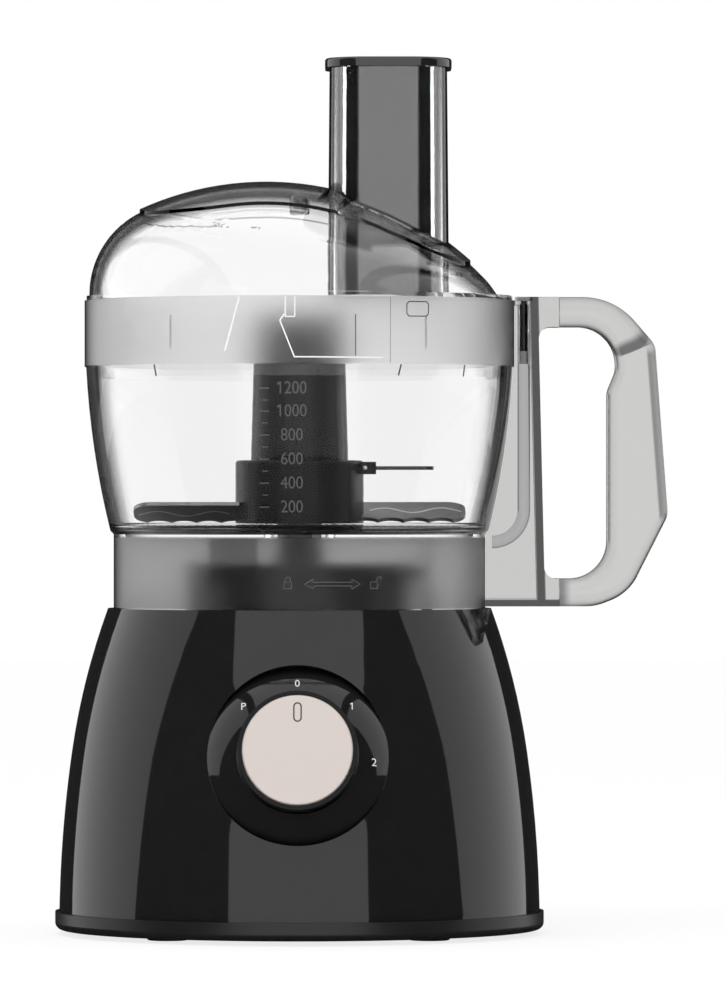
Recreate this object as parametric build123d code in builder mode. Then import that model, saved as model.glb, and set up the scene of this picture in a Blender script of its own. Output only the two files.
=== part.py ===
from build123d import *

"""A small food processor: motor base, twist-lock bowl, domed lid with feed chute, and blade.

Millimetres. The origin is on the drive axis, at the table. +Z is up, the handle points to +X
and the control dial faces -Y.
"""

import os
from math import acos, cos, radians, sin, tan

os.makedirs("parts", exist_ok=True)

# Driving dimensions: clearances
slip = 0.3            # between pieces that move past each other
seat = 0.2            # between pieces that are fitted into each other
running = 0.05        # radial play of a shaft in its bush

# Driving dimensions: motor base
foot_stand = 2.0      # how far the feet lift the base plate
foot_radius = 9.0
foot_round = 1.0
foot_depth = 2.0      # of each foot, sunk into the base plate
foot_circle = 80.0
foot_count = 4
plate_floor = 3.5
plate_rim = 8.0       # height of the plate's outside band
plate_rim_wall = 1.6
plate_edge = 3.2      # round of the plate's lower edge
vent_count = 7
vent_length = 34.0
vent_width = 3.0
vent_pitch = 7.0
vent_place = 50.0           # of the air slots in front of the axis

shell_wall = 2.6
shell_foot_radius = 105.6
shell_knee_radius = 104.0    # radius of the shell low down, where its wall is nearly upright
shell_knee_height = 44.0
dial_height = 80.3
shell_dial_radius = 100.0    # radius of the shell at the height of the dial
shell_top_radius = 84.2
deck_height = 143.0
shoulder_round = 2.2
turret_radius = 50.0
turret_height = 20.0
turret_round = 2.0
lug_count = 3
lug_reach = 5.0
lug_height = 4.0
lug_drop = 1.5               # from the turret's top to the lugs
lug_angle = 24.0

# Driving dimensions: dial
dial_tilt = 10.0
bezel_radius = 38.8
bezel_depth = 4.0
bezel_sink = 7.4             # of the dial's face below the shell's front
bezel_floor = 2.5            # of the shell's cup behind the bezel
bezel_rise = 11.0            # of the domed ring around the knob
bezel_bulge = 0.9            # of the ring's slope
knob_radius = 25.6
knob_depth = 21.0
knob_bore = 11.0             # depth of the shaft's hole in the knob
cap_radius = 23.7
cap_depth = 2.4
cap_stand = 0.6              # of the cap in front of the knob's edge
cap_round = 0.8
mark_length = 8.4            # pointer groove on the knob's cap
mark_width = 3.6
mark_line = 0.5
mark_inset = 3.2             # from the cap's edge to the groove
switch_side = 30.0
switch_corner = 3.0
switch_depth = 20.0
switch_shaft_radius = 3.0
switch_shaft_end = 12.0      # length of the shaft inside the switch

# Driving dimensions: interlock switch and cord bush
plunger_radius = 2.4
plunger_place = 56.0         # of the interlock plunger from the axis
plunger_travel = 3.0
plunger_stem = 8.0           # below the shell's deck
plunger_round = 0.8
safety_switch_length = 28.0
safety_switch_width = 11.0
safety_switch_height = 16.0
gland_height = 26.0
gland_radius = 7.0
gland_lip = 2.0
gland_sink = 9.0             # length inside the shell's back
gland_bore = 3.6

# Driving dimensions: drive train
spindle_radius = 5.0
spindle_foot = 7.5           # height of the spindle's lower end
spindle_top = 52.0           # above the turret
thrust_wall = 4.0            # of the boss that the spindle stands in
thrust_top = 12.5
bush_wall = 3.4
bush_length = 18.0
boss_wall = 4.0
boss_length = 54.0
post_across = 17.0           # drive post, across its flats
post_top = 61.0              # above the turret
post_flange = 11.6
post_flange_thick = 2.6
post_chamfer = 1.5
clip_radius = 8.0
clip_thick = 1.2
clip_opening = 6.0
big_pulley_radius = 43.0
small_pulley_radius = 9.0
belt_width = 10.0
belt_thick = 2.0
belt_height = 15.5           # of the belt's lower edge
flange_lip = 1.6             # how far a pulley's flanges stand past the belt seat
flange_thick = 1.6
pulley_rim = 4.0
pulley_disc = 4.0            # thickness of the large pulley's disc
pulley_hub = 9.0
pulley_hub_length = 20.0
motor_distance = 56.0
motor_angle = 130.0
stack_base = 52.0
stack_length = 32.0
stator_radius = 38.0
stator_ring = 5.0
pole_gap = 0.6
pole_shoe = 3.9
pole_neck = 14.0
pole_span = 100.0
coil_thick = 5.0
coil_radial = 5.0
core_radius = 20.0
core_slots = 12
slot_width = 2.6
slot_depth = 9.0
winding_radius = 16.5
winding_length = 8.0
winding_gap = 0.5            # from the winding to the commutator and the fan
rotor_shaft_radius = 4.0
commutator_radius = 11.0
commutator_length = 10.0
commutator_bars = 24
bar_groove = 0.6
bar_groove_depth = 0.8
fan_radius = 29.0
fan_height = 8.0
fan_blades = 11
fan_blade = 1.6
fan_disc = 1.5
fan_hub = 10.0
bracket_thick = 3.0
bracket_radius = 30.0
bracket_leg = 16.0
bracket_gap = 24.0           # from the stack to each bracket's plate
ear_place = 41.5             # of the motor's long screws from its axis
ear_reach = 4.5              # past the screws
motor_bush_wall = 4.0
motor_bush_length = 6.5
brush_side = 5.0
brush_length = 12.0
holder_wall = 1.5
holder_length = 14.0
mount_radius = 6.5
mount_height = 6.0
screw_radius = 2.0
screw_head_radius = 3.8
screw_head = 2.0
recess_length = 4.4           # cross recess in a screw's head
recess_width = 1.1
recess_depth = 1.2
screw_grip = 9.0             # length of thread in a boss
screw_boss_radius = 5.0
screw_boss_length = 26.0
boss_merge = 1.2             # how far a screw boss reaches into the shell's wall
motor_post_radius = 7.0

# Driving dimensions: bowl
skirt_radius = 81.7
bowl_wall = 2.5
floor_height = 34.0          # top of the bowl's floor, above the deck
floor_thick = 3.0
floor_round = 5.0
bowl_foot_radius = 83.2
bowl_belly_radius = 90.4
bowl_belly_height = 37.0     # above the floor
bowl_top_radius = 93.8       # just under the rim band
band_height = 72.0           # lower edge of the rim band, above the floor
band_radius = 94.5
band_wall = 2.3
rim_height = 29.0            # from the band's lower edge to the rim
tube_bore = 13.0             # radius of the tube in the bowl's floor
tube_wall = 2.4
tube_top = 21.0              # above the floor
hook_wall = 3.0
hook_lip = 4.0
hook_angle = 24.0
hook_cover = 3.6             # how far a hook's lip reaches under its lug

# Driving dimensions: handle
web_top_reach = 10.4         # web's edge from the bowl's band, at the top and foot of the finger gap
web_foot_reach = 13.0
web_thick = 3.0
web_rim = 3.4
web_rim_width = 20.0
handle_top = 1.6             # above the bowl's rim
handle_foot = 0.8            # above the deck
gap_top = 13.2               # finger gap, below the handle's top
gap_foot = 12.2              # and above its foot
gap_corner = 5.0
gap_corner_outer = 16.5
grip_width = 22.0
grip_inner = 21.0            # inside face of the grip, from the seam
grip_notch = 24.7            # the same above the thumb notch
notch_height = 28.5          # below the top of the finger gap
notch_slope = 9.0
grip_outer_top = 42.2        # outside face of the grip, at its upper and lower bend
grip_shoulder = 21.0         # upper bend, below the handle's top
grip_outer = 47.8
grip_heel = 39.8             # lower bend, above the handle's foot
grip_bend = 9.0              # round of those two bends
grip_top_end = 24.2          # where the handle's flat top ends
grip_top_round = 30.0
grip_heel_reach = 30.5       # corner below the heel
grip_heel_foot = 5.7
grip_foot_end = 16.0         # where the handle's flat foot ends
grip_foot_round = 22.0
handle_seam = 6.5            # joint between the web and the grip, from the web's edge
grip_edge = 6.0
channel_place = 4.1          # of the interlock channel from the bowl's band
channel_radius = 3.0
channel_bend = 9.0           # where the channel turns to the bowl, above the floor
channel_bend_radius = 14.0
pin_radius = 1.6
pin_length = 22.0
pin_travel = 4.0

# Driving dimensions: lid
dome_radius = 133.7
dome_offset = -14.6          # of the dome's centre along X
dome_top = 52.4              # above the bowl's rim
lid_radius = 92.4
lid_wall = 2.2
lid_round = 40.0
lid_flange = 1.8
lid_flange_radius = 93.6
skirt_drop = 34.0            # of the lid's inner skirt below the rim
skirt_wall = 2.0
skirt_gap = 2.0              # from the skirt to the bowl's band
crown_length = 145.0         # raised field on top of the dome
crown_width = 104.0
crown_corner = 40.0
crown_offset = 2.5
crown_rise = 1.4
bayonet_count = 4
bayonet_angle = 16.0
bayonet_height = 14.0
bayonet_foot = 22.0          # below the rim
bayonet_rise = 1.3
tab_width = 7.0
tab_reach = 7.5              # past the bowl's band
chute_center = 39.0
chute_width = 51.5           # at the top
chute_deep = 60.0
chute_corner = 17.0
chute_wall = 2.4
chute_top = 101.6            # above the rim
chute_foot = 2.0             # above the rim
chute_draft = 0.5

# Driving dimensions: pusher
pusher_gap = 0.8
pusher_wall = 2.2
pusher_flange = 2.0
pusher_flange_thick = 4.0
pusher_flange_round = 1.2

# Driving dimensions: blade
hub_gap = 1.2                # from the bowl's floor to the hub
collar_radius = 28.2
collar_top = 31.0            # above the bowl's floor
collar_round = 1.5
stem_radius = 21.4
stem_top_radius = 19.6
stem_top = 6.0               # below the bowl's rim
stem_round = 2.0
hub_roof = 3.0
hub_core = 7.5               # radius of the hollow above the drive post
blade_reach = 73.0
blade_width = 21.0
blade_thick = 1.6
blade_tilt = 21.0
blade_height = 8.2           # above the bowl's floor
blade_root = 20.0
blade_tip_round = 8.0
scallop_radius = 7.4
scallop_pitch = 11.0
scallop_count = 4
scallop_depth = 2.4
upper_reach = 59.0
upper_width = 13.0
upper_root = 22.0
upper_height = 3.4           # below the collar's top
upper_tip_round = 5.0
clamp_height = 5.4
clamp_width = 17.0
clamp_reach = 33.6

# Heights and places that follow from the sizes above
plate_top = foot_stand + plate_floor
plate_radius = shell_foot_radius + seat + plate_rim_wall
screw_circle = shell_foot_radius - shell_wall - screw_boss_radius + boss_merge
turret_top = deck_height + turret_height
spindle_end = turret_top + spindle_top
post_end = turret_top + post_top
floor_level = deck_height + floor_height
tube_end = floor_level + tube_top
belly_level = floor_level + bowl_belly_height
band_level = floor_level + band_height
rim_level = band_level + rim_height
handle_high = rim_level + handle_top
handle_low = deck_height + handle_foot
gap_high = handle_high - gap_top
gap_low = handle_low + gap_foot
notch_level = gap_high - notch_height
web_top = band_radius + web_top_reach
web_foot = band_radius + web_foot_reach
seam = web_foot + handle_seam
channel_x = band_radius + channel_place
bend_level = floor_level + channel_bend
tab_end = band_radius + tab_reach
dome_level = rim_level + dome_top
bayonet_level = rim_level - bayonet_foot
chute_high = rim_level + chute_top
chute_low = rim_level + chute_foot
collar_level = floor_level + collar_top
stem_level = rim_level - stem_top
blade_level = floor_level + blade_height
upper_level = collar_level - upper_height
spindle_bore = spindle_radius + running
bush_radius = spindle_bore + bush_wall
motor_x = motor_distance * cos(radians(motor_angle))
motor_y = motor_distance * sin(radians(motor_angle))
stack_top = stack_base + stack_length
bracket_high = stack_top + bracket_gap
motor_axis = Plane(
    origin=(motor_x, motor_y, 0),
    x_dir=(cos(radians(motor_angle)), sin(radians(motor_angle)), 0),
)
mount_base = stack_base - bracket_gap - mount_height
dial_face = Plane(
    origin=(0, -shell_dial_radius + bezel_sink, dial_height),
    x_dir=(1, 0, 0),
    z_dir=(0, -cos(radians(dial_tilt)), sin(radians(dial_tilt))),
)
dial_section = Plane(
    origin=dial_face.origin,
    x_dir=(1, 0, 0),
    z_dir=(0, -sin(radians(dial_tilt)), -cos(radians(dial_tilt))),
)
dial_axis = Axis(dial_face.origin, dial_face.z_dir)
cup_back = -bezel_depth - bezel_floor
bowl_foot = deck_height + slip
hook_top = turret_top - lug_drop - lug_height - slip
hook_radius = turret_radius + lug_reach + slip
lid_seat = rim_level + seat
lid_skirt_radius = band_radius - band_wall - skirt_gap
tube_radius = tube_bore + tube_wall
upper_plane = Plane.XY.offset(upper_level - blade_thick / 2)


def save(piece, name):
    """Labels a finished piece and writes it as its own file."""
    piece.label = name
    export_step(piece, f"parts/{name}.step")


def around(radius, height, count, start):
    """Upward planes spaced evenly around the drive axis."""
    return [Plane(place).offset(height) for place in PolarLocations(radius, count, start, rotate=False)]


def shell_body(inset):
    """The bell shape of the motor base with its turret, drawn in by the given amount."""
    with BuildPart() as body:
        with BuildSketch(Plane.XZ):
            with BuildLine():
                knee = ThreePointArc(
                    (shell_foot_radius - inset, plate_top),
                    (shell_knee_radius - inset, shell_knee_height),
                    (shell_dial_radius - inset, dial_height),
                )
                TangentArc(
                    knee @ 1,
                    (shell_top_radius - inset, deck_height - inset),
                    tangent=knee % 1,
                )
                Polyline(
                    (shell_top_radius - inset, deck_height - inset),
                    (turret_radius - inset, deck_height - inset),
                    (turret_radius - inset, turret_top - inset),
                    (0, turret_top - inset),
                    (0, plate_top),
                    (shell_foot_radius - inset, plate_top),
                )
            make_face()
        revolve(axis=Axis.Z)
        rims = body.edges().filter_by(GeomType.CIRCLE)
        deck_rims = rims.filter_by_position(Axis.Z, deck_height - inset, deck_height - inset)
        fillet(deck_rims.sort_by(SortBy.RADIUS)[-1], shoulder_round)
        rims = body.edges().filter_by(GeomType.CIRCLE)
        fillet(rims.filter_by_position(Axis.Z, turret_top - inset, turret_top - inset), turret_round)
    return body.part


def screw(plane, length):
    """A pan-head screw whose head bears on the plane, with its shank going down from it."""
    with BuildPart() as piece:
        with BuildSketch(plane.offset(-length)):
            Circle(screw_radius)
        extrude(amount=length)
        with BuildSketch(plane):
            Circle(screw_head_radius)
        extrude(amount=screw_head)
        with BuildSketch(plane.offset(screw_head - recess_depth)):
            Rectangle(recess_length, recess_width)
            Rectangle(recess_width, recess_length)
        extrude(amount=recess_depth, mode=Mode.SUBTRACT)
    return piece.part


def tube(plane, outer, inner, length):
    """A plain tube standing on the plane."""
    with BuildPart() as piece:
        with BuildSketch(plane):
            Circle(outer)
            Circle(inner, mode=Mode.SUBTRACT)
        extrude(amount=length)
    return piece.part


def ring_sector(outer_radius, inner_radius, angle):
    """A piece of a flat ring around the origin, centred on X."""
    with BuildSketch() as sector:
        with BuildLine():
            outer = CenterArc((0, 0), outer_radius, -angle / 2, angle)
            inner = CenterArc((0, 0), inner_radius, -angle / 2, angle)
            Line(outer @ 0, inner @ 0)
            Line(outer @ 1, inner @ 1)
        make_face()
    return sector.sketch


base_screw_planes = around(screw_circle, foot_stand + screw_head, foot_count, 90 / foot_count)
foot_planes = around(foot_circle, 0, foot_count, 180 / foot_count)
ear_places = ((0, ear_place), (0, -ear_place))

# Motor base: glossy shell with the cup for the dial, the turret and the spindle boss
shell_outside = shell_body(0)
shell_inside = shell_body(shell_wall)
with BuildPart() as dial_cup:
    with BuildSketch(dial_face.offset(cup_back)):
        Circle(bezel_radius + shell_wall)
    extrude(amount=-cup_back)
    add(shell_outside, mode=Mode.INTERSECT)

with BuildPart() as base_housing:
    add(shell_outside)
    add(shell_inside, mode=Mode.SUBTRACT)
    add(dial_cup.part)
    with BuildSketch(dial_face.offset(-bezel_depth)):
        Circle(bezel_radius + seat)
    extrude(amount=bezel_depth + 2 * bezel_sink, mode=Mode.SUBTRACT)
    with BuildSketch(dial_face.offset(cup_back)):
        Circle(switch_shaft_radius + slip)
    extrude(amount=bezel_floor, mode=Mode.SUBTRACT)
    with BuildSketch(Plane.XY.offset(turret_top - boss_length)):
        Circle(bush_radius + boss_wall)
    extrude(amount=boss_length - shell_wall)
    with BuildSketch(Plane.XY.offset(turret_top - boss_length)):
        Circle(bush_radius + seat)
    extrude(amount=boss_length, mode=Mode.SUBTRACT)
    with BuildSketch(Plane.XY.offset(turret_top - lug_drop - lug_height)):
        with PolarLocations(0, lug_count):
            add(ring_sector(turret_radius + lug_reach, turret_radius - shell_wall / 2, lug_angle))
    extrude(amount=lug_height)
    with BuildSketch(*[plane.offset(plate_floor - screw_head) for plane in base_screw_planes]):
        Circle(screw_boss_radius)
    extrude(amount=screw_boss_length)
    with BuildSketch(*[plane.offset(plate_floor - screw_head) for plane in base_screw_planes]):
        Circle(screw_radius)
    extrude(amount=screw_grip, mode=Mode.SUBTRACT)
    with BuildSketch(Plane.XY.offset(deck_height - shell_wall)):
        with Locations((plunger_place, 0)):
            Circle(plunger_radius + slip)
    extrude(amount=shell_wall, mode=Mode.SUBTRACT)
    with BuildSketch(Plane.XZ):
        with Locations((0, gland_height)):
            Circle(gland_radius)
    extrude(amount=-plate_radius, mode=Mode.SUBTRACT)
save(base_housing.part, "base_housing")

# Base plate: floor with air slots, motor posts, spindle foot and a band around the shell's foot
with BuildPart() as base_plate:
    with BuildSketch(Plane.XY.offset(foot_stand)):
        Circle(plate_radius)
    extrude(amount=plate_rim)
    fillet(base_plate.edges().group_by(Axis.Z)[0], plate_edge)
    with BuildSketch(Plane.XY.offset(plate_top)):
        Circle(plate_radius - plate_rim_wall)
    extrude(amount=plate_rim, mode=Mode.SUBTRACT)
    with BuildSketch(motor_axis.offset(plate_top)):
        with Locations(*ear_places):
            Circle(motor_post_radius)
    extrude(amount=mount_base - plate_top)
    with BuildSketch(motor_axis.offset(mount_base - screw_grip)):
        with Locations(*ear_places):
            Circle(screw_radius)
    extrude(amount=screw_grip, mode=Mode.SUBTRACT)
    with BuildSketch(Plane.XY.offset(plate_top)):
        Circle(spindle_bore + thrust_wall)
    extrude(amount=thrust_top - plate_top)
    with BuildSketch(Plane.XY.offset(spindle_foot - seat)):
        Circle(spindle_bore)
    extrude(amount=thrust_top, mode=Mode.SUBTRACT)
    with BuildSketch(*[plane.offset(foot_stand) for plane in foot_planes]):
        Circle(foot_radius)
    extrude(amount=foot_depth, mode=Mode.SUBTRACT)
    with BuildSketch(*[plane.offset(-screw_head) for plane in base_screw_planes]):
        Circle(screw_radius + seat)
    extrude(amount=plate_floor, mode=Mode.SUBTRACT)
    with BuildSketch(*[plane.offset(-screw_head) for plane in base_screw_planes]):
        Circle(screw_head_radius + seat)
    extrude(amount=screw_head, mode=Mode.SUBTRACT)
    with BuildSketch(Plane.XY.offset(foot_stand)):
        with Locations((0, -vent_place)):
            with GridLocations(0, vent_pitch, 1, vent_count):
                SlotOverall(vent_length, vent_width)
    extrude(amount=plate_floor, mode=Mode.SUBTRACT)
save(base_plate.part, "base_plate")

# Four soft feet, sunk into the base plate, and the screws between them
for number, plane in enumerate(foot_planes, 1):
    with BuildPart() as rubber_foot:
        with BuildSketch(plane):
            Circle(foot_radius)
        extrude(amount=foot_stand + foot_depth)
        fillet(rubber_foot.edges().group_by(Axis.Z)[0], foot_round)
    save(rubber_foot.part, f"rubber_foot_{number}")

for number, plane in enumerate(base_screw_planes, 1):
    underside = Plane(origin=plane.origin, x_dir=(1, 0, 0), z_dir=(0, 0, -1))
    save(screw(underside, plate_floor - screw_head + screw_grip), f"base_screw_{number}")

# Dial: bezel in the shell's cup, knob with its metal-look cap, shaft and rotary switch
with BuildPart() as dial_bezel:
    with BuildSketch(dial_section):
        ring_bore = knob_radius + 2 * slip
        with BuildLine():
            SagittaArc((bezel_radius, 0), (ring_bore, bezel_rise), -bezel_bulge)
            Polyline(
                (ring_bore, bezel_rise),
                (ring_bore, 0),
                (switch_shaft_radius + slip, 0),
                (switch_shaft_radius + slip, -bezel_depth),
                (bezel_radius, -bezel_depth),
                (bezel_radius, 0),
            )
        make_face()
    revolve(axis=dial_axis)
save(dial_bezel.part, "dial_bezel")

with BuildPart() as knob_body:
    with BuildSketch(dial_face.offset(slip)):
        Circle(knob_radius)
    extrude(amount=knob_depth)
    with BuildSketch(dial_face.offset(slip + knob_depth - cap_depth)):
        Circle(cap_radius + seat)
    extrude(amount=cap_depth, mode=Mode.SUBTRACT)
    with BuildSketch(dial_face.offset(slip)):
        Circle(switch_shaft_radius + seat)
    extrude(amount=knob_bore, mode=Mode.SUBTRACT)
save(knob_body.part, "knob_body")

with BuildPart() as knob_cap:
    with BuildSketch(dial_face.offset(slip + knob_depth - cap_depth)):
        Circle(cap_radius)
    extrude(amount=cap_depth + cap_stand)
    fillet(knob_cap.edges().filter_by(GeomType.CIRCLE).sort_by(Axis.Y)[0], cap_round)
    with BuildSketch(dial_face.offset(slip + knob_depth + cap_stand - mark_line)):
        with Locations((0, cap_radius - mark_inset - mark_length / 2)):
            SlotOverall(mark_length, mark_width, rotation=90)
            mark_island = (mark_length - 2 * mark_line, mark_width - 2 * mark_line)
            SlotOverall(*mark_island, rotation=90, mode=Mode.SUBTRACT)
    extrude(amount=mark_line, mode=Mode.SUBTRACT)
save(knob_cap.part, "knob_cap")

with BuildPart() as switch_shaft:
    with BuildSketch(dial_face.offset(cup_back - switch_shaft_end)):
        Circle(switch_shaft_radius)
    extrude(amount=switch_shaft_end - cup_back + slip + knob_bore - seat)
save(switch_shaft.part, "switch_shaft")

with BuildPart() as rotary_switch:
    with BuildSketch(dial_face.offset(cup_back - switch_depth)):
        RectangleRounded(switch_side, switch_side, switch_corner)
    extrude(amount=switch_depth)
    with BuildSketch(dial_face.offset(cup_back - switch_shaft_end - seat)):
        Circle(switch_shaft_radius + slip)
    extrude(amount=switch_shaft_end + seat, mode=Mode.SUBTRACT)
save(rotary_switch.part, "rotary_switch")

# Interlock switch under the deck with the plunger that the bowl's hook covers, and the cord bush
plunger_top = hook_top - hook_lip - slip
plunger_foot = deck_height - shell_wall - plunger_stem
with BuildPart() as safety_plunger:
    with BuildSketch(Plane.XY.offset(plunger_foot)):
        with Locations((plunger_place, 0)):
            Circle(plunger_radius)
    extrude(amount=plunger_top - plunger_foot)
    fillet(safety_plunger.edges().group_by(Axis.Z)[-1], plunger_round)
save(safety_plunger.part, "safety_plunger")

with BuildPart() as safety_switch:
    with BuildSketch(Plane.XY.offset(deck_height - shell_wall - safety_switch_height)):
        with Locations((plunger_place, 0)):
            Rectangle(safety_switch_width, safety_switch_length)
    extrude(amount=safety_switch_height)
    with BuildSketch(Plane.XY.offset(plunger_foot - plunger_travel - slip)):
        with Locations((plunger_place, 0)):
            Circle(plunger_radius + slip)
    extrude(amount=safety_switch_height, mode=Mode.SUBTRACT)
save(safety_switch.part, "safety_switch")

with BuildPart() as cord_gland:
    back = Plane(origin=(0, shell_foot_radius, gland_height), x_dir=(1, 0, 0), z_dir=(0, 1, 0))
    with BuildSketch(back.offset(-gland_sink)):
        Circle(gland_radius - seat)
    extrude(amount=gland_sink)
    with BuildSketch(back):
        Circle(gland_radius + gland_lip)
    extrude(amount=gland_lip)
    with BuildSketch(back.offset(-gland_sink)):
        Circle(gland_bore)
    extrude(amount=gland_sink + gland_lip, mode=Mode.SUBTRACT)
save(cord_gland.part, "cord_gland")

# Drive spindle in two bushes, with its clip, the drive post on top and the large pulley below
spindle_bush_heights = (turret_top - boss_length, turret_top - bush_length)
for number, height in enumerate(spindle_bush_heights, 1):
    save(tube(Plane.XY.offset(height), bush_radius, spindle_bore, bush_length), f"spindle_bush_{number}")

with BuildPart() as drive_spindle:
    with BuildSketch(Plane.XY.offset(spindle_foot)):
        Circle(spindle_radius)
    extrude(amount=spindle_end - spindle_foot)
save(drive_spindle.part, "drive_spindle")

with BuildPart() as spindle_clip:
    with BuildSketch(Plane.XY.offset(turret_top - boss_length - slip - clip_thick)):
        Circle(clip_radius)
        Circle(spindle_radius, mode=Mode.SUBTRACT)
        with Locations((clip_radius, 0)):
            Rectangle(2 * clip_radius, clip_opening, mode=Mode.SUBTRACT)
    extrude(amount=clip_thick)
save(spindle_clip.part, "spindle_clip")

with BuildPart() as drive_post:
    with BuildSketch(Plane.XY.offset(turret_top + slip)):
        Circle(post_flange)
    extrude(amount=post_flange_thick)
    with BuildSketch(Plane.XY.offset(turret_top + slip)):
        RegularPolygon(post_across / 2, 6, major_radius=False)
    extrude(amount=post_end - turret_top - slip)
    chamfer(drive_post.faces().sort_by(Axis.Z)[-1].edges(), post_chamfer)
    with BuildSketch(Plane.XY.offset(turret_top + slip)):
        Circle(spindle_radius)
    extrude(amount=spindle_end - turret_top - slip, mode=Mode.SUBTRACT)
save(drive_post.part, "drive_post")

pulley_foot = belt_height - flange_thick
pulley_height = belt_width + 2 * flange_thick
with BuildPart() as big_pulley:
    with BuildSketch(Plane.XY.offset(pulley_foot)):
        Circle(big_pulley_radius + flange_lip)
    extrude(amount=pulley_height)
    with BuildSketch(Plane.XY.offset(belt_height)):
        Circle(big_pulley_radius + 2 * flange_lip)
        Circle(big_pulley_radius, mode=Mode.SUBTRACT)
    extrude(amount=belt_width, mode=Mode.SUBTRACT)
    with BuildSketch(Plane.XY.offset(pulley_foot + pulley_disc)):
        Circle(big_pulley_radius - pulley_rim)
    extrude(amount=pulley_height, mode=Mode.SUBTRACT)
    with BuildSketch(Plane.XY.offset(pulley_foot)):
        Circle(pulley_hub)
    extrude(amount=pulley_hub_length)
    with BuildSketch(Plane.XY.offset(pulley_foot)):
        Circle(spindle_radius)
    extrude(amount=pulley_hub_length, mode=Mode.SUBTRACT)
save(big_pulley.part, "big_pulley")

with BuildPart() as small_pulley:
    with BuildSketch(motor_axis.offset(pulley_foot)):
        Circle(small_pulley_radius + flange_lip)
    extrude(amount=pulley_height)
    with BuildSketch(motor_axis.offset(belt_height)):
        Circle(small_pulley_radius + 2 * flange_lip)
        Circle(small_pulley_radius, mode=Mode.SUBTRACT)
    extrude(amount=belt_width, mode=Mode.SUBTRACT)
    with BuildSketch(motor_axis.offset(pulley_foot)):
        Circle(rotor_shaft_radius)
    extrude(amount=pulley_height, mode=Mode.SUBTRACT)
save(small_pulley.part, "small_pulley")


def belt_outline(grow):
    """The outline around both pulleys, at the given distance from their belt seats."""
    large = big_pulley_radius + grow
    small = small_pulley_radius + grow
    lean = acos((large - small) / motor_distance)
    with BuildSketch() as outline:
        Circle(large)
        with Locations((motor_distance, 0)):
            Circle(small)
        with BuildLine():
            Polyline(
                (large * cos(lean), large * sin(lean)),
                (motor_distance + small * cos(lean), small * sin(lean)),
                (motor_distance + small * cos(lean), -small * sin(lean)),
                (large * cos(lean), -large * sin(lean)),
                close=True,
            )
        make_face()
    return outline.sketch


belt_plane = Plane(origin=(0, 0, belt_height + slip), x_dir=motor_axis.x_dir)
with BuildPart() as drive_belt:
    with BuildSketch(belt_plane):
        add(belt_outline(slip + belt_thick))
        add(belt_outline(slip), mode=Mode.SUBTRACT)
    extrude(amount=belt_width - 2 * slip)
save(drive_belt.part, "drive_belt")

# Motor: field stack with two wound poles, held between two brackets by long screws
pole_face = core_radius + pole_gap
with BuildPart() as motor_stator:
    with BuildSketch(motor_axis.offset(stack_base)):
        Circle(stator_radius)
        Circle(stator_radius - stator_ring, mode=Mode.SUBTRACT)
        Rectangle(2 * stator_radius - stator_ring, pole_neck)
        with PolarLocations(0, 2):
            add(ring_sector(pole_face + pole_shoe, pole_face, pole_span))
        Circle(pole_face, mode=Mode.SUBTRACT)
    extrude(amount=stack_length)
save(motor_stator.part, "motor_stator")

coil_place = pole_face + pole_shoe + seat + coil_radial / 2
for number, side in enumerate((1, -1), 1):
    with BuildPart() as field_coil:
        with BuildSketch(motor_axis.offset(stack_base - coil_thick)):
            with Locations((side * coil_place, 0)):
                Rectangle(coil_radial, pole_neck + 2 * coil_thick)
        extrude(amount=stack_length + 2 * coil_thick)
        with BuildSketch(motor_axis.offset(stack_base - seat)):
            with Locations((side * coil_place, 0)):
                Rectangle(coil_radial, pole_neck + 2 * seat)
        extrude(amount=stack_length + 2 * seat, mode=Mode.SUBTRACT)
    save(field_coil.part, f"field_coil_{number}")

motor_bush_radius = rotor_shaft_radius + running + motor_bush_wall


def motor_bracket(plate_base, leg_base):
    """A bearing plate with two legs that bear on the field stack beside the long screws."""
    leg_inner = stator_radius - stator_ring
    leg_outer = ear_place + ear_reach
    with BuildPart() as bracket:
        with BuildSketch(motor_axis.offset(plate_base)):
            Circle(bracket_radius)
            Rectangle(bracket_leg, 2 * leg_outer)
            Circle(motor_bush_radius, mode=Mode.SUBTRACT)
        extrude(amount=bracket_thick)
        with BuildSketch(motor_axis.offset(leg_base)):
            with Locations((0, (leg_inner + leg_outer) / 2), (0, -(leg_inner + leg_outer) / 2)):
                Rectangle(bracket_leg, leg_outer - leg_inner)
        extrude(amount=bracket_gap)
        with BuildSketch(motor_axis.offset(min(plate_base, leg_base))):
            with Locations(*ear_places):
                Circle(screw_radius + seat)
        extrude(amount=bracket_thick + bracket_gap, mode=Mode.SUBTRACT)
    return bracket.part


lower_plate = stack_base - bracket_gap
save(motor_bracket(lower_plate, lower_plate), "motor_bottom_bracket")
save(motor_bracket(bracket_high, stack_top), "motor_top_bracket")

motor_bush_heights = (lower_plate, bracket_high + bracket_thick - motor_bush_length)
for number, height in enumerate(motor_bush_heights, 1):
    bush = tube(motor_axis.offset(height), motor_bush_radius, rotor_shaft_radius + running, motor_bush_length)
    save(bush, f"motor_bush_{number}")

for number, place in enumerate(ear_places, 1):
    ear = Plane(origin=motor_axis.from_local_coords(Vector(*place)))
    mount = tube(ear.offset(mount_base), mount_radius, screw_radius + seat, mount_height)
    save(mount, f"motor_mount_{number}")
    head_seat = bracket_high + bracket_thick
    save(screw(ear.offset(head_seat), head_seat - mount_base + screw_grip), f"motor_screw_{number}")

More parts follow.
